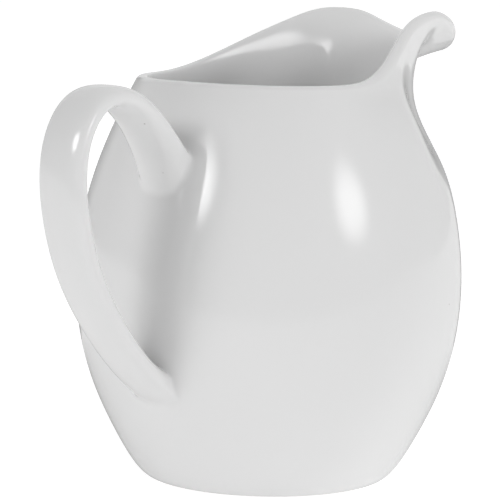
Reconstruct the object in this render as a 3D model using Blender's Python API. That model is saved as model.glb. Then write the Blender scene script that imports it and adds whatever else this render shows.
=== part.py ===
# A milk jug in one piece of glazed porcelain: a round belly, a rim drawn up into a long pouring
# lip, and a strap handle opposite the lip. +X runs to the lip, -X to the handle, +Z is up, and the
# jug is symmetric in Y. It stands on a narrow flat foot ring at Z = 0.

import bpy
import numpy as np

for oldObject in list(bpy.data.objects):
    bpy.data.objects.remove(oldObject, do_unlink=True)

# Driving dimensions. Tables are in millimetres and degrees; MM turns them into metres.
MM = 0.001
WALL = 3.9                 # thickness of the wall and of the rounded rim
RIM_SHOULDER = 10.0        # height over which the rim is rounded off on its inner side
FOOT_OUTER = 28.9          # outer edge of the flat foot ring
FLOOR_HEIGHT = 6.4         # inner floor above the table
FLOOR_START = 12.0         # height where the inner wall turns into the floor
FLOOR_FLATNESS = 9         # more gives a flatter floor with a tighter corner
AXIS_X = 3.09              # the belly's axis, so that the bounding box is centred on X = 0

# Shallow hollow under the jug, out to the flat foot ring's inner edge: radius, height.
RECESS = ((22.0, 1.4), (23.8, 1.1), (24.5, 0.0))
# Pull points of the belly's profile from the foot to just under the rim: radius, height.
PROFILE = (
    (FOOT_OUTER, 0.0), (30.2, 0.0), (33.2, 3.1), (37.4, 10.3), (43.2, 22.0), (46.7, 35.0),
    (47.7, 48.5), (46.5, 62.0), (42.6, 76.5), (36.9, 89.4),
)
# How far each pull ring has turned from the belly's spacing (0) to the rim's spacing (1).
TURN = (0.0, 0.0, 0.0, 0.0, 0.0, 0.0, 0.0, 0.08, 0.35, 0.72)

# Stations round one half of the rim, from the tip of the lip to the handle: angle on the belly,
# the middle of the rounded rim (along, across, height), the wall's lean outward below it, how far
# down that lean reaches and how far the wall is swept back along the rim there.
STATIONS = (
    (0.0, (70.7, 0.0, 103.8), 81.0, 15.0, 0.0),
    (12.0, (63.0, 9.4, 107.8), 60.0, 12.0, 5.0),
    (24.0, (54.7, 12.1, 110.9), 38.0, 10.6, 5.5),
    (36.0, (44.2, 15.3, 111.5), 26.0, 8.4, 1.8),
    (49.0, (33.3, 17.5, 109.3), 12.0, 7.0, 0.0),
    (64.0, (21.3, 21.8, 104.7), 3.0, 5.0, 0.0),
    (81.0, (9.3, 26.4, 99.6), -10.0, 4.0, 0.0),
    (99.0, (-2.4, 29.1, 96.5), -20.0, 3.0, 0.0),
    (118.0, (-13.7, 28.3, 95.9), -26.0, 2.6, 0.0),
    (138.0, (-22.1, 22.1, 95.8), -28.0, 2.6, 0.0),
    (159.0, (-28.8, 12.1, 95.9), -28.0, 2.6, 0.0),
    (180.0, (-31.2, 0.0, 96.0), -28.0, 2.6, 0.0),
)
# The two upper pull rings in front, where the belly runs up into the lip: along, across, height.
CHEST = ((47.4, 0.0, 76.5), (46.5, 7.6, 76.5), (43.7, 15.8, 76.5), (38.6, 23.9, 76.5), (31.5, 31.0, 76.5))
THROAT = ((46.0, 0.0, 94.5), (45.6, 4.4, 94.3), (44.1, 8.7, 93.0), (40.0, 12.8, 91.2), (33.1, 17.7, 89.4),
          (23.7, 24.1, 88.8))

# The strap handle's middle line, from inside the wall under the rim to inside the wall low on the
# belly: distance from the axis, height.
STRAP_PATH = (
    (33.5, 72.0), (39.5, 79.2), (46.5, 87.6), (57.2, 96.8), (69.2, 96.4), (76.5, 86.4), (76.7, 72.8),
    (71.9, 57.4), (64.5, 46.1), (54.6, 34.8), (44.5, 26.6), (34.5, 19.8),
)
STRAP_WIDTH = 12.7
STRAP_THICKNESS = 4.9
STRAP_SQUARENESS = 2.7     # 2 gives an oval section, more gives flatter faces
STRAP_BITE = 1.8           # how deep the handle's ends reach into the wall
STRAP_END = 5              # more keeps the slant of the handle's ends nearer to the wall
# The strap swells towards its ends: pull point where the swelling starts, the one where it is
# full, growth of the half width and growth of the inner face.
UPPER_SWELL = (3.4, 1.2, 0.8, 3.3)
LOWER_SWELL = (8.8, 10.2, 0.4, 3.0)

AROUND = 76                # faces round the jug
ALONG_WALL = 24            # faces up the outer wall
ACROSS_RIM = 3             # faces over each half of the rounded rim
FLOOR_RINGS = 5
STRAP_AROUND = 20
STRAP_ALONG = 34
WALL_SAMPLES = 200         # samples of the wall's profile behind, where the handle's ends meet it
FIRST_SAMPLE = 20          # the samples below this one are the foot, where the profile runs level
HIT_SAMPLES = 300          # steps along the strap's path when looking for the wall
PATH_STEP = 0.01           # step along a path for its direction
MOST_SWELL = 1.3           # the swelling stops growing here, past its full place
SHARP_ANGLE = 40           # degrees between faces at an edge that is shaded sharp


def splineWeights(place, last):
    # Cubic B-spline: the four pull points round each place and their weights.
    start = np.minimum(np.floor(place).astype(int), last - 1)
    t = place - start
    weights = np.stack(((1 - t) ** 3, 3 * t ** 3 - 6 * t ** 2 + 4, -3 * t ** 3 + 3 * t ** 2 + 3 * t + 1, t ** 3))
    return start, weights.T / 6


def pullThrough(points):
    # Pull points whose closed cubic B-spline passes through the given points.
    count = len(points)
    share = np.eye(count) * 4 + np.roll(np.eye(count), 1, 0) + np.roll(np.eye(count), -1, 0)
    return np.tensordot(np.linalg.inv(share / 6), points, 1)


def openSpline(points, place):
    # Cubic B-spline that starts and ends on its first and last pull points.
    points = np.asarray(points, float)
    padded = np.vstack((2 * points[0] - points[1], points, 2 * points[-1] - points[-2]))
    start, weights = splineWeights(place, len(points) - 1)
    return sum(weights[:, [k]] * padded[start + k] for k in range(4))


def closedSpline(points, place):
    # Closed cubic B-spline through the given points, along the first axis.
    pulls = pullThrough(points)
    start, weights = splineWeights(place, len(points))
    return sum(weights[:, [k]] * pulls[(start + k - 1) % len(points)] for k in range(4))


def unit(vectors):
    return vectors / np.linalg.norm(vectors, axis=-1, keepdims=True)


def mirrored(half, signs):
    # A half ring from the lip to the handle, carried round the other half.
    half = np.asarray(half, float)
    return np.vstack((half, half[-2:0:-1] * signs))


def rimFrame(around):
    # Middle of the rounded rim, the rim's own direction, the one the wall arrives in and the
    # outward normal.
    station = np.linspace(0, len(STATIONS) * 2 - 2, around, endpoint=False)
    middle = closedSpline(mirrored([row[1] for row in STATIONS], (1, -1, 1)), station)
    ahead = closedSpline(mirrored([row[1] for row in STATIONS], (1, -1, 1)), station + PATH_STEP)
    run = unit(ahead - middle)
    outward = unit(np.stack((run[:, 1], -run[:, 0], 0 * run[:, 0]), 1))
    upward = np.cross(outward, run)
    lean = closedSpline(mirrored([[np.radians(row[2])] for row in STATIONS], 1), station)
    rise = np.cos(lean) * upward + np.sin(lean) * outward
    normal = np.cos(lean) * outward - np.sin(lean) * upward
    return middle, run, rise, normal


def pullRings():
    # One ring of pull points for each step up the wall, each with one point for each station.
    count = len(STATIONS)
    bellyAngle = np.radians([row[0] for row in STATIONS])
    rimPoint = np.array([row[1] for row in STATIONS])
    rimAngle = np.arctan2(rimPoint[:, 1], rimPoint[:, 0])
    rings = []
    for (radius, height), turn in zip(PROFILE, TURN):
        angle = bellyAngle * (1 - turn) + rimAngle * turn
        ring = np.stack((radius * np.cos(angle), radius * np.sin(angle), np.full(count, height)), 1)
        rings.append(ring)
    rings[-2][:len(CHEST)] = CHEST
    rings[-1][:len(THROAT)] = THROAT
    rings = [mirrored(ring, (1, -1, 1)) for ring in rings]
    middle, run, rise, normal = rimFrame(2 * count - 2)
    reach = mirrored([[row[3]] for row in STATIONS], 1)
    sweep = mirrored([[row[4]] for row in STATIONS], -1)
    edge = middle + normal * WALL / 2
    rings.append(edge - rise * reach + run * sweep)
    rings.append(edge)
    return np.array(rings)


def outerWall(around, along):
    # Outer wall from the foot to the rim as a grid of rows by columns.
    rings = pullRings()
    columns = np.linspace(0, rings.shape[1], around, endpoint=False)
    rings = np.array([closedSpline(ring, columns) for ring in rings])
    rows = np.linspace(0, len(rings) - 1, along + 1)
    flat = openSpline(rings.reshape(len(rings), -1), rows)
    return flat.reshape(len(rows), around, 3)


def outwardNormals(grid):
    # Unit normals of the outer wall's grid.
    alongRows = np.gradient(grid, axis=0)
    roundColumns = np.roll(grid, -1, 1) - np.roll(grid, 1, 1)
    return unit(np.cross(roundColumns, alongRows))


def vessel():
    # Closed surface of the jug without its handle, row by row from under the foot, up the outside,
    # over the rim, down the inside and across the inner floor. The rim is a quarter circle outside
    # and the upper part of a tall quarter ellipse inside, which the inner wall carries on.
    outer = outerWall(AROUND, ALONG_WALL)
    normals = outwardNormals(outer)
    middle, run, rise, normal = rimFrame(AROUND)
    normals[-1] = normal
    half = WALL / 2
    turns = np.linspace(0, np.pi / 2, ACROSS_RIM + 1)[1:, None, None]
    outside = middle + (normal * np.cos(turns) + rise * np.sin(turns)) * half
    turns = np.linspace(np.pi / 2, np.arcsin(1 - half / RIM_SHOULDER), ACROSS_RIM + 1)[1:-1, None, None]
    inside = middle - normal * np.cos(turns) * half + rise * (half - RIM_SHOULDER * (1 - np.sin(turns)))
    steps = np.linalg.norm(np.diff(outer[::-1], axis=0), axis=-1).cumsum(0)
    depth = np.vstack((np.zeros((1, AROUND)), steps)) + half
    inset = half * np.sqrt(1 - np.clip(1 - depth / RIM_SHOULDER, 0, 1) ** 2)
    inner = outer[::-1] - normals[::-1] * (half + inset)[..., None]
    inner = inner[inner[:, 0, 2] > FLOOR_START]
    direction = unit(outer[0] * (1, 1, 0))
    recess = [direction * radius + np.array((0, 0, height)) for radius, height in RECESS]
    drop = inner[-1][:, 2:] - FLOOR_HEIGHT
    floor = []
    for share in np.sqrt(np.cos(np.linspace(0, np.pi / 2, FLOOR_RINGS + 2)))[1:-1]:
        floor.append(np.hstack((inner[-1][:, :2] * share, FLOOR_HEIGHT + drop * share ** FLOOR_FLATNESS)))
    return np.concatenate((recess, outer, outside, inside, inner, floor))


def swell(place, start, full):
    # 0 before the start, 1 at the full place, growing as a square.
    return np.clip((place - start) / (full - start), 0, MOST_SWELL) ** 2


def strapPoint(side, thick, place):
    # A point of the strap's surface: its middle line at a place, moved across and through.
    line = openSpline(STRAP_PATH, place)
    run = unit(openSpline(STRAP_PATH, place + PATH_STEP) - openSpline(STRAP_PATH, place - PATH_STEP))
    out = np.stack((-run[:, 1], run[:, 0]), 1)
    for start, full, wider, deeper in (UPPER_SWELL, LOWER_SWELL):
        growth = swell(place, start, full)
        side = side * (1 + growth * wider * 2 / STRAP_WIDTH)
        thick = thick + np.minimum(thick, 0) * growth * deeper * 2 / STRAP_THICKNESS
    spot = line + out * thick[:, None]
    return np.stack((-spot[:, 0], side, spot[:, 1]), 1)


def wallHit(side, thick, places, radiusAt):
    # The place on the strap's path where each of its surface lines is STRAP_BITE under the glaze.
    depth = []
    for place in places:
        spot = strapPoint(side, thick, np.full(side.shape, place))
        depth.append(np.hypot(spot[:, 0], spot[:, 1]) - radiusAt(spot[:, 2]) + STRAP_BITE)
    depth = np.array(depth)
    first = np.argmax(depth < 0, axis=0)
    column = np.arange(len(side))
    before = depth[first - 1, column]
    after = depth[first, column]
    return places[first - 1] + (places[first] - places[first - 1]) * before / (before - after)


def strap():
    # Closed handle whose two ends follow the wall, row by row along its path.
    back = outerWall(2, WALL_SAMPLES)[FIRST_SAMPLE:, 1]
    spot = np.linspace(2 * np.pi, 0, STRAP_AROUND, endpoint=False)
    power = 2 / STRAP_SQUARENESS
    side = np.sign(np.cos(spot)) * np.abs(np.cos(spot)) ** power * STRAP_WIDTH / 2
    thick = np.sign(np.sin(spot)) * np.abs(np.sin(spot)) ** power * STRAP_THICKNESS / 2

    def radiusAt(height):
        return np.interp(height, back[:, 2], -back[:, 0])

    last = len(STRAP_PATH) - 1
    upper = wallHit(side, thick, np.linspace(last / 3, PATH_STEP, HIT_SAMPLES), radiusAt)
    lower = wallHit(side, thick, np.linspace(last * 2 / 3, last - PATH_STEP, HIT_SAMPLES), radiusAt)
    rows = []
    for share in np.linspace(0, 1, STRAP_ALONG + 1):
        even = upper.mean() * (1 - share) + lower.mean() * share
        upperSlant = (upper - upper.mean()) * (1 - share) ** STRAP_END
        lowerSlant = (lower - lower.mean()) * share ** STRAP_END
        rows.append(strapPoint(side, thick, even + upperSlant + lowerSlant))
    return np.array(rows)


def closedMesh(name, grid):
    # Object from a grid of rings, closed by a fan of triangles at each end.
    rows, columns = grid.shape[:2]
    corner = np.arange(rows * columns).reshape(rows, columns)
    following = np.roll(corner, -1, 1)
    quads = np.stack((corner[:-1], following[:-1], following[1:], corner[1:]), -1).reshape(-1, 4)
    startCap = rows * columns
    endCap = startCap + 1
    vertices = np.vstack((grid.reshape(-1, 3), grid[0].mean(0), grid[-1].mean(0)))
    faces = quads.tolist()
    faces += [(startCap, b, a) for a, b in zip(corner[0].tolist(), following[0].tolist())]
    faces += [(endCap, a, b) for a, b in zip(corner[-1].tolist(), following[-1].tolist())]
    mesh = bpy.data.meshes.new(name)
    mesh.from_pydata(((vertices + (AXIS_X, 0, 0)) * MM).tolist(), [], faces)
    mesh.shade_smooth()
    built = bpy.data.objects.new(name, mesh)
    bpy.context.collection.objects.link(built)
    return built


def porcelain():
    material = bpy.data.materials.new("glazed white porcelain")
    material.use_nodes = True
    shader = material.node_tree.nodes["Principled BSDF"]
    shader.inputs["Base Color"].default_value = (0.82, 0.82, 0.82, 1)
    shader.inputs["Roughness"].default_value = 0.08
    shader.inputs["Metallic"].default_value = 0
    return material


jug = closedMesh("jug", vessel())
handle = closedMesh("handle", strap())
join = jug.modifiers.new("join handle", "BOOLEAN")
join.operation = "UNION"
join.object = handle
bpy.context.view_layer.objects.active = jug
bpy.ops.object.modifier_apply(modifier=join.name)
bpy.data.objects.remove(handle, do_unlink=True)
jug.data.materials.clear()
jug.data.materials.append(porcelain())
jug.data.set_sharp_from_angle(angle=np.radians(SHARP_ANGLE))
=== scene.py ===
# Looks of a glazed porcelain milk jug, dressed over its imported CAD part.
# +X runs to the pouring lip, -X to the handle, +Z is up, and shapes are worked out in millimetres.

import bpy
import numpy as np
from mathutils import Matrix


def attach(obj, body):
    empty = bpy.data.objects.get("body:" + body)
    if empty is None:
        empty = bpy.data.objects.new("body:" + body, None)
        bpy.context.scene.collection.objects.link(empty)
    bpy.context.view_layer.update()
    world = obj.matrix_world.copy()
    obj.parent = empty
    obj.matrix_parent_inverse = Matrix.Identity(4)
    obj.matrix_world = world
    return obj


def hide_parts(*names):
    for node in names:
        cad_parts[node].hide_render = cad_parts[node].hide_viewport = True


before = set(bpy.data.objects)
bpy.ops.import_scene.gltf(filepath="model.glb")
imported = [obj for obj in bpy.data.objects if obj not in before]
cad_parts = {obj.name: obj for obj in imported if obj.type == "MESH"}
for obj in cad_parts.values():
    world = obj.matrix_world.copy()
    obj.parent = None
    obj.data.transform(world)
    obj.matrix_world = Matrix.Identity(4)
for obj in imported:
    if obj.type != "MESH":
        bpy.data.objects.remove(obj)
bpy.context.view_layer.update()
print("frame loaded with nodes", sorted(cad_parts))

mm = 0.001
smallStep = 0.01    # step along a curve for its direction


def splineWeights(place, last):
    # Cubic B-spline: the first of the four pull points round each place and the four weights.
    start = np.minimum(np.floor(place).astype(int), last - 1)
    t = place - start
    before = 3 * t ** 3 - 6 * t ** 2 + 4
    after = -3 * t ** 3 + 3 * t ** 2 + 3 * t + 1
    return start, np.stack(((1 - t) ** 3, before, after, t ** 3), 1) / 6


def openSpline(points, place):
    # Cubic B-spline that starts and ends on its first and last pull points.
    points = np.asarray(points, float)
    padded = np.vstack((2 * points[0] - points[1], points, 2 * points[-1] - points[-2]))
    start, weights = splineWeights(place, len(points) - 1)
    return sum(weights[:, [k]] * padded[start + k] for k in range(4))


def closedSpline(points, place):
    # Closed cubic B-spline through the given points: the pull points solve (1, 4, 1) / 6 round the loop.
    count = len(points)
    share = np.eye(count) * 4 + np.roll(np.eye(count), 1, 0) + np.roll(np.eye(count), -1, 0)
    pulls = np.tensordot(np.linalg.inv(share / 6), points, 1)
    start, weights = splineWeights(place, count)
    return sum(weights[:, [k]] * pulls[(start + k - 1) % count] for k in range(4))


def unit(vectors):
    return vectors / np.linalg.norm(vectors, axis=-1, keepdims=True)


def mirrored(half, signs):
    # A half ring from the lip to the handle, carried round the other half.
    half = np.asarray(half, float)
    return np.vstack((half, half[-2:0:-1] * signs))


def meshFromRings(name, rings, material):
    # One closed mesh from a grid of rings (rows x columns x 3, mm), each end shut by a fan to its middle.
    rows, columns = rings.shape[:2]
    corner = np.arange(rows * columns).reshape(rows, columns)
    following = np.roll(corner, -1, 1)
    quads = np.stack((corner[:-1], following[:-1], following[1:], corner[1:]), -1).reshape(-1, 4)
    startFan = np.stack((np.full(columns, rows * columns), following[0], corner[0]), -1)
    endFan = np.stack((np.full(columns, rows * columns + 1), corner[-1], following[-1]), -1)
    vertices = np.vstack((rings.reshape(-1, 3), rings[0].mean(0), rings[-1].mean(0)))
    vertices = (vertices + (jugShape["axisX"], 0, 0)) * mm * jugShape["snug"]
    mesh = bpy.data.meshes.new(name)
    mesh.from_pydata(vertices.tolist(), [], quads.tolist() + startFan.tolist() + endFan.tolist())
    mesh.validate()
    mesh.shade_smooth()
    mesh.materials.append(material)
    piece = bpy.data.objects.new(name, mesh)
    bpy.context.collection.objects.link(piece)
    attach(piece, "root")
    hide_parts("jug")
    return piece


jugShape = {
    "axisX": 3.09,        # the belly's axis
    "snug": 0.999,        # keeps the smooth surface inside the box of the part's facets
    "wall": 3.9,          # thickness of the wall and of the rounded rim
    "shoulder": 10.0,     # height over which the rim is rounded off on its inner side
    "floorHeight": 6.4,   # inner floor above the table
    "floorStart": 12.0,   # height where the inner wall turns into the floor
    "floorFlatness": 9,   # more gives a flatter floor with a tighter corner
    # hollow under the jug, out to the foot ring's inner edge: radius, height
    "recess": ((22.0, 1.4), (23.5, 1.3), (24.2, 0.5), (24.5, 0.0), (24.7, 0.0)),
    # pull points of the belly from the foot to under the rim: radius, height
    "profile": ((28.9, 0.0), (30.2, 0.0), (33.2, 3.1), (37.4, 10.3), (43.2, 22.0), (46.7, 35.0),
                (47.7, 48.5), (46.5, 62.0), (42.6, 76.5), (36.9, 89.4)),
    # how far each ring has turned from the belly's spacing to the rim's
    "turn": (0, 0, 0, 0, 0, 0, 0, 0.08, 0.35, 0.72),
    # stations from the lip's tip to the handle: angle on the belly, middle of the rounded rim,
    # lean of the wall below it, reach of that lean, sweep back along the rim
    "stations": (
        (0.0, (70.7, 0.0, 103.8), 81.0, 15.0, 0.0),
        (12.0, (63.0, 9.4, 107.8), 60.0, 12.0, 5.0),
        (24.0, (54.7, 12.1, 110.9), 38.0, 10.6, 5.5),
        (36.0, (44.2, 15.3, 111.5), 26.0, 8.4, 1.8),
        (49.0, (33.3, 17.5, 109.3), 12.0, 7.0, 0.0),
        (64.0, (21.3, 21.8, 104.7), 3.0, 5.0, 0.0),
        (81.0, (9.3, 26.4, 99.6), -10.0, 4.0, 0.0),
        (99.0, (-2.4, 29.1, 96.5), -20.0, 3.0, 0.0),
        (118.0, (-13.7, 28.3, 95.9), -26.0, 2.6, 0.0),
        (138.0, (-22.1, 22.1, 95.8), -28.0, 2.6, 0.0),
        (159.0, (-28.8, 12.1, 95.9), -28.0, 2.6, 0.0),
        (180.0, (-31.2, 0.0, 96.0), -28.0, 2.6, 0.0),
    ),
    # the two upper pull rings in front, where the belly runs up into the lip: along, across, height
    "chest": ((47.4, 0.0, 76.5), (46.5, 7.6, 76.5), (43.7, 15.8, 76.5), (38.6, 23.9, 76.5),
              (31.5, 31.0, 76.5)),
    "throat": ((46.0, 0.0, 94.5), (45.6, 4.4, 94.3), (44.1, 8.7, 93.0), (40.0, 12.8, 91.2),
               (33.1, 17.7, 89.4), (23.7, 24.1, 88.8)),
    "around": 288,
    "alongWall": 150,
    "overRim": 18,
    "floorRings": 24,
}


def rimFrame(around):
    # The rim's middle line is a closed spline through the stations. Its frame: run along the rim,
    # rise in the direction that the wall arrives in, normal outward; the lean turns rise off upright.
    stations = jugShape["stations"]
    place = np.linspace(0, len(stations) * 2 - 2, around, endpoint=False)
    line = mirrored([row[1] for row in stations], (1, -1, 1))
    middle = closedSpline(line, place)
    run = unit(closedSpline(line, place + smallStep) - middle)
    outward = unit(np.stack((run[:, 1], -run[:, 0], 0 * run[:, 0]), 1))
    upward = np.cross(outward, run)
    lean = closedSpline(mirrored([[np.radians(row[2])] for row in stations], 1), place)
    rise = np.cos(lean) * upward + np.sin(lean) * outward
    normal = np.cos(lean) * outward - np.sin(lean) * upward
    return middle, run, rise, normal


def pullRings():
    # Pull points up the wall by stations round it: circles of the profile, then the chest and throat
    # in front, then one ring under the rim's edge along the lean and one on the edge.
    stations = jugShape["stations"]
    bellyAngle = np.radians([row[0] for row in stations])
    rimPoint = np.array([row[1] for row in stations])
    rimAngle = np.arctan2(rimPoint[:, 1], rimPoint[:, 0])
    rings = []
    for (radius, height), turn in zip(jugShape["profile"], jugShape["turn"]):
        angle = bellyAngle * (1 - turn) + rimAngle * turn
        rings.append(np.stack((radius * np.cos(angle), radius * np.sin(angle), 0 * angle + height), 1))
    rings[-2][:len(jugShape["chest"])] = jugShape["chest"]
    rings[-1][:len(jugShape["throat"])] = jugShape["throat"]
    rings = [mirrored(ring, (1, -1, 1)) for ring in rings]
    middle, run, rise, normal = rimFrame(2 * len(stations) - 2)
    reach = mirrored([[row[3]] for row in stations], 1)
    sweep = mirrored([[row[4]] for row in stations], -1)
    edge = middle + normal * jugShape["wall"] / 2
    return np.array(rings + [edge - rise * reach + run * sweep, edge])


def outerWall(around, along):
    # Bicubic B-spline: closed splines round the pull rings, then open splines up through them.
    rings = pullRings()
    columns = np.linspace(0, rings.shape[1], around, endpoint=False)
    rings = np.array([closedSpline(ring, columns) for ring in rings])
    rows = np.linspace(0, len(rings) - 1, along + 1)
    return openSpline(rings.reshape(len(rings), -1), rows).reshape(len(rows), around, 3)


def jugRings():
    # From under the foot up the outer wall and over the rim: a quarter circle outside and the upper
    # part of a tall quarter ellipse inside. The inner wall is the outer one moved in by the wall's
    # thickness, less near the rim by the same ellipse, and the floor flattens by a power curve.
    outer = outerWall(jugShape["around"], jugShape["alongWall"])
    middle, run, rise, normal = rimFrame(jugShape["around"])
    normals = unit(np.cross(np.roll(outer, -1, 1) - np.roll(outer, 1, 1), np.gradient(outer, axis=0)))
    normals[-1] = normal
    half = jugShape["wall"] / 2
    tall = jugShape["shoulder"]
    turns = np.linspace(0, np.pi / 2, jugShape["overRim"])[1:, None, None]
    outside = middle + (normal * np.cos(turns) + rise * np.sin(turns)) * half
    turns = np.linspace(np.pi / 2, np.arcsin(1 - half / tall), jugShape["overRim"])[1:-1, None, None]
    inside = middle - normal * np.cos(turns) * half + rise * (np.sin(turns) * tall - tall + half)
    steps = np.linalg.norm(np.diff(outer[::-1], axis=0), axis=-1).cumsum(0)
    depth = np.vstack((np.zeros((1, len(middle))), steps)) + half
    inset = half * np.sqrt(1 - np.clip(1 - depth / tall, 0, 1) ** 2)
    inner = outer[::-1] - normals[::-1] * (half + inset)[..., None]
    inner = inner[inner[:, 0, 2] > jugShape["floorStart"]]
    spokes = unit(outer[0] * (1, 1, 0))
    recess = [spokes * radius + np.array((0, 0, height)) for radius, height in jugShape["recess"]]
    share = np.sqrt(np.cos(np.linspace(0, np.pi / 2, jugShape["floorRings"] + 2)))[1:-1, None, None]
    drop = inner[-1][:, 2:] - jugShape["floorHeight"]
    height = jugShape["floorHeight"] + drop * share ** jugShape["floorFlatness"]
    innerFloor = np.concatenate((inner[-1][:, :2] * share, height), -1)
    return np.concatenate((recess, outer, outside, inside, inner, innerFloor))


handleShape = {
    # middle line from inside the wall under the rim to inside the wall low on the belly:
    # distance from the axis, height
    "path": ((33.5, 72.0), (39.5, 79.2), (46.5, 87.6), (57.2, 96.8), (69.2, 96.4), (76.5, 86.4), (76.7, 72.8),
             (71.9, 57.4), (64.5, 46.1), (54.6, 34.8), (44.5, 26.6), (34.5, 19.8)),
    "width": 12.7,
    "thickness": 4.9,
    "squareness": 2.7,     # 2 gives an oval section, more gives flatter faces
    # place where the strap starts to swell, place where it is full, growth of half the width,
    # growth of the inner face, loss of squareness
    "swells": ((3.4, 1.2, 0.8, 3.3, 0.15), (8.8, 10.2, 0.4, 3.0, 0.5)),
    "filletOnStrap": 1.7,  # glaze fillet round each root: its reach up the strap and out on the wall
    "filletOnWall": 1.3,
    "filletRows": 12,
    "mostSwell": 1.3,      # the swelling stops growing here, past its full place
    "sunk": 0.06,          # how far the fillet's edge dips under the wall's glaze
    "skirt": 0.5,          # how far past the fillet it dips
    "skirtDepth": 0.4,     # hidden edge of the skirt, under the wall's surface
    "capDepth": 1.6,       # hidden cap, under the wall's surface
    "slopeReach": 0.5,     # height to either side over which the wall's slope is taken
    "wallSamples": 600,    # samples of the wall's profile behind, where the handle's ends meet it
    "firstSample": 60,     # the samples below this one are the foot, where the profile runs level
    "hitSamples": 400,     # steps along the path when looking for the wall
    "hitEnd": 0.02,        # the search ends this short of the path's end
    "endSlant": 5,         # more keeps the slant of the handle's ends nearer to the wall
    "around": 96,
    "along": 190,
}


def strapPoint(turn, place):
    # A superellipse section carried along the middle line. Its width, its inner face and its
    # squareness change as the square of the way into each root.
    shape = handleShape
    line = openSpline(shape["path"], place)
    run = unit(openSpline(shape["path"], place + smallStep) - openSpline(shape["path"], place - smallStep))
    out = np.stack((-run[:, 1], run[:, 0]), 1)
    halfWidth = shape["width"] / 2
    deepening = 0
    squareness = shape["squareness"]
    for start, full, wider, deeper, rounder in shape["swells"]:
        growth = np.clip((place - start) / (full - start), 0, shape["mostSwell"]) ** 2
        halfWidth = halfWidth + growth * wider
        deepening = deepening + growth * deeper * 2 / shape["thickness"]
        squareness = squareness - growth * rounder
    side = np.sign(np.cos(turn)) * np.abs(np.cos(turn)) ** (2 / squareness) * halfWidth
    thick = np.sign(np.sin(turn)) * np.abs(np.sin(turn)) ** (2 / squareness) * shape["thickness"] / 2
    thick = thick + np.minimum(thick, 0) * deepening
    spot = line + out * thick[:, None]
    return np.stack((-spot[:, 0], side, spot[:, 1]), 1)


def backWall():
    # The wall's profile behind, where it is a surface of revolution: height, radius.
    back = outerWall(2, handleShape["wallSamples"])[handleShape["firstSample"]:, 1]
    return back[:, 2], -back[:, 0]


def wallHit(turn, places, wall):
    # The place on the path where each line of the strap's surface meets the wall.
    spots = np.array([strapPoint(turn, np.full(turn.shape, place)) for place in places])
    depth = np.hypot(spots[..., 0], spots[..., 1]) - np.interp(spots[..., 2], *wall)
    first = np.argmax(depth < 0, axis=0)
    column = np.arange(len(turn))
    before = depth[first - 1, column]
    after = depth[first, column]
    return places[first - 1] + (places[first] - places[first - 1]) * before / (before - after)


def onWall(spots, wall, sunk):
    # Points brought onto the wall along their own radius, and sunk under it.
    radius = np.interp(spots[:, 2], *wall) - sunk
    return np.hstack((unit(spots[:, :2]) * radius[:, None], spots[:, 2:]))


def rootRows(turn, hit, towardsStrap, wall):
    # A root from its cap inside the wall out to the strap: the footprint's outline is moved outward
    # on the wall, then a quadratic curve bends from there over the corner up onto the strap.
    shape = handleShape
    corner = strapPoint(turn, hit)
    step = strapPoint(turn, hit + smallStep * towardsStrap) - corner
    start = hit + smallStep * towardsStrap * shape["filletOnStrap"] / np.linalg.norm(step, axis=1)
    onStrap = strapPoint(turn, start)
    radial = unit(corner * (1, 1, 0))
    reach = shape["slopeReach"]
    slope = (np.interp(corner[:, 2] + reach, *wall) - np.interp(corner[:, 2] - reach, *wall)) / (2 * reach)
    wallNormal = unit(radial - np.outer(slope, (0, 0, 1)))
    along = unit(np.roll(corner, -1, 0) - np.roll(corner, 1, 0))
    away = unit(np.cross(along, wallNormal))
    away = away * np.sign(((corner - corner.mean(0)) * away).sum())
    edge = onWall(corner + away * shape["filletOnWall"], wall, 0)
    skirt = onWall(corner + away * (shape["filletOnWall"] + shape["skirt"]), wall, shape["sunk"])
    rows = [corner - wallNormal * shape["capDepth"], skirt - wallNormal * shape["skirtDepth"], skirt]
    for t in np.linspace(0, 1, shape["filletRows"]):
        rows.append(edge * (1 - t) ** 2 + corner * 2 * t * (1 - t) + onStrap * t ** 2)
    return rows, start


def handleRings():
    # A superellipse section along the strap's path, from root to root.
    shape = handleShape
    wall = backWall()
    turn = np.linspace(2 * np.pi, 0, shape["around"], endpoint=False)
    last = len(shape["path"]) - 1
    upperHit = wallHit(turn, np.linspace(last / 3, shape["hitEnd"], shape["hitSamples"]), wall)
    lowerHit = wallHit(turn, np.linspace(last * 2 / 3, last - shape["hitEnd"], shape["hitSamples"]), wall)
    upperRows, upper = rootRows(turn, upperHit, 1, wall)
    lowerRows, lower = rootRows(turn, lowerHit, -1, wall)
    rows = []
    for share in np.linspace(0, 1, shape["along"] + 1)[1:-1]:
        even = upper.mean() * (1 - share) + lower.mean() * share
        upperSlant = (upper - upper.mean()) * (1 - share) ** shape["endSlant"]
        lowerSlant = (lower - lower.mean()) * share ** shape["endSlant"]
        rows.append(strapPoint(turn, even + upperSlant + lowerSlant))
    return np.array(upperRows + rows + lowerRows[::-1])


glazeLook = {
    "colour": (0.94, 0.94, 0.94, 1),
    "biscuit": (0.74, 0.725, 0.70, 1),   # the unglazed foot ring
    "speck": (0.62, 0.61, 0.60, 1),      # pinholes and grit under the glaze
    "speckSpacing": 80,                  # specks to a metre
    "speckRadius": 0.022,                # against the specks' spacing
    "speckCore": 0.5,                    # share of that radius that is fully dark
    "roughness": 0.07,
    "biscuitRoughness": 0.65,
    "footHeight": 0.25,                  # mm of bare foot above the table
    "footEdge": 0.6,                     # share of that height where the glaze starts to thin out
    "rippleScale": 90,
    "rippleHeight": 0.012,               # mm
}


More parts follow.
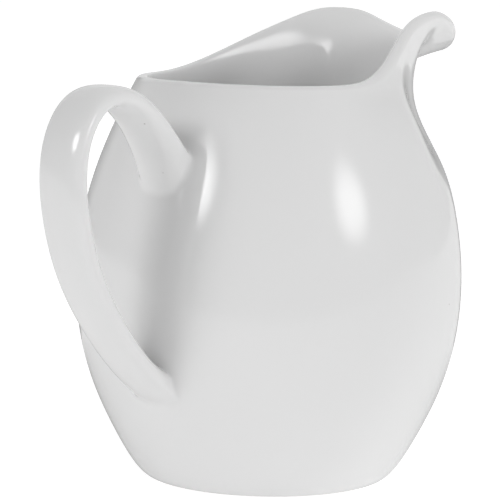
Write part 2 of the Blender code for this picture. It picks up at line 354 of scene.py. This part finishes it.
def glazedPorcelain(name):
    look = glazeLook
    material = bpy.data.materials.new(name)
    material.use_nodes = True
    nodes = material.node_tree.nodes
    link = material.node_tree.links.new
    shader = nodes["Principled BSDF"]
    place = nodes.new("ShaderNodeTexCoord").outputs["Object"]

    axes = nodes.new("ShaderNodeSeparateXYZ")          # bare foot: below a height
    link(place, axes.inputs[0])
    foot = nodes.new("ShaderNodeMapRange")
    foot.inputs["From Min"].default_value = look["footHeight"] * mm
    foot.inputs["From Max"].default_value = look["footHeight"] * look["footEdge"] * mm
    link(axes.outputs["Z"], foot.inputs["Value"])

    cells = nodes.new("ShaderNodeTexVoronoi")          # specks: the middles of sparse cells
    cells.inputs["Scale"].default_value = look["speckSpacing"]
    link(place, cells.inputs["Vector"])
    speck = nodes.new("ShaderNodeMapRange")
    speck.inputs["From Min"].default_value = look["speckRadius"]
    speck.inputs["From Max"].default_value = look["speckRadius"] * look["speckCore"]
    link(cells.outputs["Distance"], speck.inputs["Value"])

    specked = nodes.new("ShaderNodeMix")
    specked.data_type = "RGBA"
    specked.inputs["A"].default_value = look["colour"]
    specked.inputs["B"].default_value = look["speck"]
    link(speck.outputs[0], specked.inputs["Factor"])
    footed = nodes.new("ShaderNodeMix")
    footed.data_type = "RGBA"
    footed.inputs["B"].default_value = look["biscuit"]
    link(foot.outputs[0], footed.inputs["Factor"])
    link(specked.outputs["Result"], footed.inputs["A"])
    link(footed.outputs["Result"], shader.inputs["Base Color"])

    gloss = nodes.new("ShaderNodeMapRange")
    gloss.inputs["To Min"].default_value = look["roughness"]
    gloss.inputs["To Max"].default_value = look["biscuitRoughness"]
    link(foot.outputs[0], gloss.inputs["Value"])
    link(gloss.outputs[0], shader.inputs["Roughness"])

    ripple = nodes.new("ShaderNodeTexNoise")           # the glaze's faint ripple
    ripple.inputs["Scale"].default_value = look["rippleScale"]
    ripple.inputs["Detail"].default_value = 1
    link(place, ripple.inputs["Vector"])
    bump = nodes.new("ShaderNodeBump")
    bump.inputs["Distance"].default_value = look["rippleHeight"] * mm
    link(ripple.outputs[0], bump.inputs["Height"])
    link(bump.outputs[0], shader.inputs["Normal"])
    return material


porcelain = glazedPorcelain("glazed white porcelain")
meshFromRings("jugBody", jugRings(), porcelain)
print("jug body made")
meshFromRings("jugHandle", handleRings(), porcelain)
print("handle made")


studio = {
    "floorSize": 12.0,       # metres
    "floorColour": (0.35, 0.35, 0.35, 1),    # the floor seen by the camera glows white
    "floorGlow": 0.85,
    "tableColour": (0.90, 0.90, 0.90, 1),    # two tables lie just under it: one lights the glaze, and
                                             # one with a near front edge is what the glaze reflects
    "tableGlow": (0.04, 0.42),               # painted light: the glow in the jug's painted shade and farther off
    "tableShade": 0.080,                     # how far behind the jug the middle of the painted shade lies
    "tableNear": (0.050, 0.130),             # metres from there where the glow sets in and is full
    "tableFront": 0.23,                      # metres from the jug's axis to the table's front edge
    "tableDrop": 0.0005,
    "floorRoughness": 0.9,
    "floorGloss": 0.2,                       # specular level
    # even dome of light, and spill of the lamps on the walls round the studio: azimuth, elevation,
    # power of the cosine of the angle to it, brightness
    "dome": 0.08,
    "spills": ((-88.2, 22.7, 3, 0.28), (-52.6, 30, 3, 0.45), (-142.6, 20, 3, 0.05), (37.4, 15, 2, 0.64),
               (37.4, 60, 3, 0.23)),
    "keyDistance": 1.5,      # metres from what a light is aimed at
    "keyRadius": 0.40,       # the light's round diffuser
    "keyCore": 0.25,         # share of the radius that is fully bright
    # the two lights: the glaze that shows their reflection (mm), azimuth and elevation from there,
    # brightness in the middle against a white of 1
    "keys": (((-17, -39, 72), -88.2, 22.7, 5.3), ((-38, -13, 73), 167.0, 27.5, 9.8)),
    # grey cards that stand behind the jug, square to the view, and that only the glaze sees: how far
    # behind, and of each its ends across the view and its height
    "cardAway": 0.16,
    "cards": ((-0.142, -0.060, 0.135), (0.057, 0.094, 0.104)),
    "viewAzimuth": 37.4,     # direction that the camera looks in
    "cardShade": (0.4, 0.4, 0.4, 1),
}


def direction(azimuth, elevation):
    azimuth, elevation = np.radians((azimuth, elevation))
    flat = np.cos(elevation)
    return np.array((flat * np.cos(azimuth), flat * np.sin(azimuth), np.sin(elevation)))


def dot(nodes, link, source, vector):
    product = nodes.new("ShaderNodeVectorMath")
    product.operation = "DOT_PRODUCT"
    product.inputs[1].default_value = vector
    link(source, product.inputs[0])
    return product.outputs["Value"]


def maths(nodes, link, operation, first, second):
    step = nodes.new("ShaderNodeMath")
    step.operation = operation
    for socket, value in zip(step.inputs, (first, second)):
        if isinstance(value, (int, float)):
            socket.default_value = value
        else:
            link(value, socket)
    return step.outputs[0]


def paleFloor(name, height, colour, glow, front):
    # A rectangle square to the view. It begins at the given distance in front of the jug.
    ahead = direction(studio["viewAzimuth"], 0)
    half = direction(studio["viewAzimuth"] - 90, 0) * studio["floorSize"] / 2
    near = np.array((0, 0, height)) - ahead * front
    far = np.array((0, 0, height)) + ahead * studio["floorSize"] / 2
    mesh = bpy.data.meshes.new(name)
    mesh.from_pydata([near - half, near + half, far + half, far - half], [], [(0, 1, 2, 3)])
    material = bpy.data.materials.new(name)
    material.use_nodes = True
    shader = material.node_tree.nodes["Principled BSDF"]
    shader.inputs["Base Color"].default_value = colour
    shader.inputs["Roughness"].default_value = studio["floorRoughness"]
    shader.inputs["Specular IOR Level"].default_value = studio["floorGloss"]
    shader.inputs["Emission Color"].default_value = (1, 1, 1, 1)
    shader.inputs["Emission Strength"].default_value = glow
    mesh.materials.append(material)
    floor = bpy.data.objects.new(name, mesh)
    bpy.context.collection.objects.link(floor)
    return floor


def fadeGlow(material):
    # The table's glow is a painted light. It rises smoothly with the distance from the painted shade behind
    # the jug.
    nodes = material.node_tree.nodes
    link = material.node_tree.links.new
    distance = nodes.new("ShaderNodeVectorMath")
    distance.operation = "DISTANCE"
    distance.inputs[1].default_value = direction(studio["viewAzimuth"], 0) * studio["tableShade"]
    link(nodes.new("ShaderNodeTexCoord").outputs["Object"], distance.inputs[0])
    glow = nodes.new("ShaderNodeMapRange")
    glow.interpolation_type = "SMOOTHSTEP"
    glow.inputs["From Min"].default_value = studio["tableNear"][0]
    glow.inputs["From Max"].default_value = studio["tableNear"][1]
    glow.inputs["To Min"].default_value = studio["tableGlow"][0]
    glow.inputs["To Max"].default_value = studio["tableGlow"][1]
    link(distance.outputs["Value"], glow.inputs["Value"])
    link(glow.outputs[0], nodes["Principled BSDF"].inputs["Emission Strength"])


def placed(thing, place, across, up, backward):
    # Puts a light or the camera at a place, looking against backward.
    turned = np.eye(4)
    turned[:3] = np.stack((across, up, backward, place), 1)
    built = bpy.data.objects.new(thing.name, thing)
    built.matrix_world = Matrix(turned.tolist())
    bpy.context.collection.objects.link(built)
    return built


def softLight(name, spot, azimuth, elevation, radiance):
    # A round diffuser that fades towards its edge.
    backward = direction(azimuth, elevation)
    lamp = bpy.data.lights.new(name, "AREA")
    lamp.shape = "DISK"
    lamp.size = studio["keyRadius"] * 2
    lamp.energy = radiance * (np.pi * studio["keyRadius"]) ** 2
    lamp.use_nodes = True
    nodes = lamp.node_tree.nodes
    link = lamp.node_tree.links.new
    centred = nodes.new("ShaderNodeVectorMath")
    centred.operation = "SUBTRACT"
    centred.inputs[1].default_value = (0.5, 0.5, 0)
    link(nodes.new("ShaderNodeNewGeometry").outputs["Parametric"], centred.inputs[0])
    length = nodes.new("ShaderNodeVectorMath")
    length.operation = "LENGTH"
    link(centred.outputs[0], length.inputs[0])
    fade = nodes.new("ShaderNodeMapRange")
    fade.interpolation_type = "SMOOTHSTEP"
    fade.inputs["From Min"].default_value = 0.5
    fade.inputs["From Max"].default_value = 0.5 * studio["keyCore"]
    link(length.outputs["Value"], fade.inputs["Value"])
    link(fade.outputs[0], nodes["Emission"].inputs["Strength"])
    across = unit(np.cross((0, 0, 1), backward))
    place = np.array(spot) * mm + backward * studio["keyDistance"]
    placed(lamp, place, across, np.cross(backward, across), backward)


def lightDome():
    # The sum of the spills, each a power of the cosine of the angle to its middle.
    world = bpy.data.worlds.new("studio")
    world.use_nodes = True
    nodes = world.node_tree.nodes
    link = world.node_tree.links.new
    place = nodes.new("ShaderNodeTexCoord").outputs["Generated"]
    light = studio["dome"]
    for azimuth, elevation, power, brightness in studio["spills"]:
        cosine = maths(nodes, link, "MAXIMUM", dot(nodes, link, place, direction(azimuth, elevation)), 0)
        spill = maths(nodes, link, "MULTIPLY", maths(nodes, link, "POWER", cosine, power), brightness)
        light = maths(nodes, link, "ADD", light, spill)
    link(light, nodes["Background"].inputs["Strength"])
    nodes["Background"].inputs["Color"].default_value = (1, 1, 1, 1)
    bpy.context.scene.world = world
    bpy.context.scene.view_settings.view_transform = "Standard"


def darkCard(name, start, end, height):
    # An upright card. It darkens reflections and throws no shadow.
    ahead = direction(studio["viewAzimuth"], 0) * studio["cardAway"]
    aside = direction(studio["viewAzimuth"] - 90, 0)
    raised = np.array((0, 0, height))
    feet = np.array((ahead + aside * start, ahead + aside * end))
    mesh = bpy.data.meshes.new(name)
    mesh.from_pydata([*feet.tolist(), *(feet[::-1] + raised).tolist()], [], [(0, 1, 2, 3)])
    material = bpy.data.materials.new(name)
    material.use_nodes = True
    material.node_tree.nodes["Principled BSDF"].inputs["Base Color"].default_value = studio["cardShade"]
    mesh.materials.append(material)
    card = bpy.data.objects.new(name, mesh)
    card.visible_camera = False
    card.visible_diffuse = False
    card.visible_shadow = False
    bpy.context.collection.objects.link(card)


camera = {
    "place": (-0.50772, -0.38492, 0.13899),
    "right": (0.6093, -0.7927, 0.0170),
    "up": (0.0928, 0.0926, 0.9914),
    "backward": (-0.7875, -0.6025, 0.1300),
    "lens": 189.04,
}


def aimCamera():
    lens = bpy.data.cameras.new("camera")
    lens.lens = camera["lens"]
    lens.sensor_width = 36
    axes = (camera["right"], camera["up"], camera["backward"])
    bpy.context.scene.camera = placed(lens, camera["place"], *axes)


floor = paleFloor("pale floor", 0, studio["floorColour"], studio["floorGlow"], studio["floorSize"] / 2)
floor.visible_diffuse = False
floor.visible_glossy = False
for name, drop, front in (("table", 1, studio["floorSize"] / 2), ("tableTop", 0.5, studio["tableFront"])):
    height = -studio["tableDrop"] * drop
    table = paleFloor(name, height, studio["tableColour"], studio["tableGlow"][1], front)
    table.visible_camera = False
    table.visible_diffuse = name == "table"
    table.visible_glossy = name == "tableTop"
    fadeGlow(table.active_material)
for number, key in enumerate(studio["keys"]):
    softLight("softLight%d" % number, *key)
for number, card in enumerate(studio["cards"]):
    darkCard("darkCard%d" % number, *card)
lightDome()
aimCamera()
print("studio set up")
